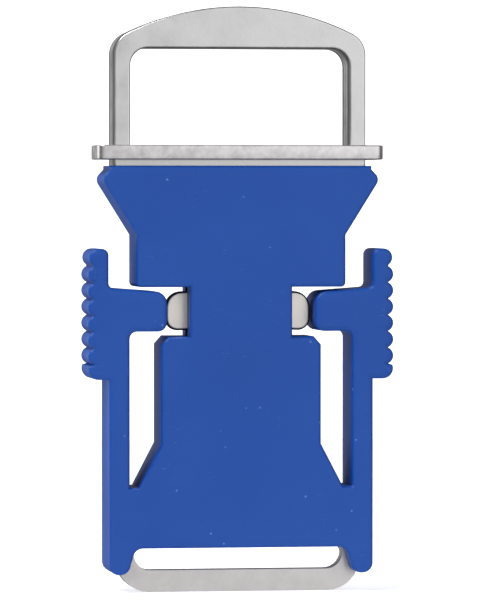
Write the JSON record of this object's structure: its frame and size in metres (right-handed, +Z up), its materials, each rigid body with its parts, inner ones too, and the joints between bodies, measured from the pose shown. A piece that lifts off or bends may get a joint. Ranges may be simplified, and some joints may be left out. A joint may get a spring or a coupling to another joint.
{
  "type": "side release webbing buckle",
  "caption": "Latched harness webbing buckle: steel tongue with a loop and collar, moulded housing on a steel frame, and squeeze levers that turn spring-loaded lock pieces.",
  "frame": {"origin": "upper edge of the lower steel webbing bar, at mid width and mid depth", "axes": "+Z up along the pull, from the lower webbing bar towards the tongue's loop; +X to the right seen from the front; +Y from the front face to the back face"},
  "size_m": [0.06, 0.0124, 0.1137],
  "materials": {
    "housing_plastic": "moulded, satin, royal blue",
    "frame_steel": "blanked sheet, tumbled",
    "tongue_steel": "blanked sheet, polished edges",
    "flange_steel": "sheared edge, scuffed",
    "lock_steel": "hardened, satin",
    "rivet_steel": "turned",
    "screw_steel": "zinc plated",
    "spring_wire": "drawn wire"
  },
  "bodies": {
    "housing": {"front_shell": "housing_plastic", "back_shell": "housing_plastic", "housing_screws": "screw_steel", "frame_front_plate": "frame_steel", "frame_back_plate": "frame_steel", "frame_rivets": "rivet_steel", "left_pivot_pin": "rivet_steel", "right_pivot_pin": "rivet_steel", "spring_seat": "frame_steel", "seat_rivet": "rivet_steel", "left_lock_spring": "spring_wire", "right_lock_spring": "spring_wire", "ejector_spring": "spring_wire"},
    "left_lever": {"left_lever": "housing_plastic"},
    "right_lever": {"right_lever": "housing_plastic"},
    "left_lock": {"left_lock_piece": "lock_steel"},
    "right_lock": {"right_lock_piece": "lock_steel"},
    "tongue": {"tongue_core": "tongue_steel", "tongue_front_cheek": "tongue_steel", "tongue_back_cheek": "tongue_steel", "tongue_flange": "flange_steel"},
    "ejector": {"ejector": "frame_steel"}
  },
  "joints": [
    {"name": "left_squeeze", "type": "hinge", "parent": "housing", "child": "left_lever", "pos_m": [-0.02385, 0, 0.0172], "axis": [0, 1, 0], "range_deg": [0, 3.4], "stiffness_Nm_per_rad": 1.2, "springref_deg": -1.72},
    {"name": "right_squeeze", "type": "hinge", "parent": "housing", "child": "right_lever", "pos_m": [0.02385, 0, 0.0172], "axis": [0, -1, 0], "range_deg": [0, 3.4], "stiffness_Nm_per_rad": 1.2, "springref_deg": -1.72},
    {"name": "left_lock_turn", "type": "hinge", "parent": "housing", "child": "left_lock", "pos_m": [-0.011, 0, 0.0595], "axis": [0, -1, 0], "range_deg": [0, 13], "deforming": ["left_lock_spring"]},
    {"name": "right_lock_turn", "type": "hinge", "parent": "housing", "child": "right_lock", "pos_m": [0.011, 0, 0.0595], "axis": [0, 1, 0], "range_deg": [0, 13], "deforming": ["right_lock_spring"]},
    {"name": "tongue_slide", "type": "slide", "parent": "housing", "child": "tongue", "axis": [0, 0, 1], "range_m": [-0.001, 0], "stiffness_N_per_m": 400, "springref_m": 0.004},
    {"name": "ejector_slide", "type": "slide", "parent": "housing", "child": "ejector", "axis": [0, 0, 1], "range_m": [-0.001, 0], "deforming": ["ejector_spring"]}
  ],
  "couplings": [
    {"joint": "left_lock_turn", "follows": "left_squeeze", "ratio": 3.8235},
    {"joint": "right_lock_turn", "follows": "right_squeeze", "ratio": 3.8235},
    {"joint": "ejector_slide", "follows": "tongue_slide", "ratio": 1}
  ]
}
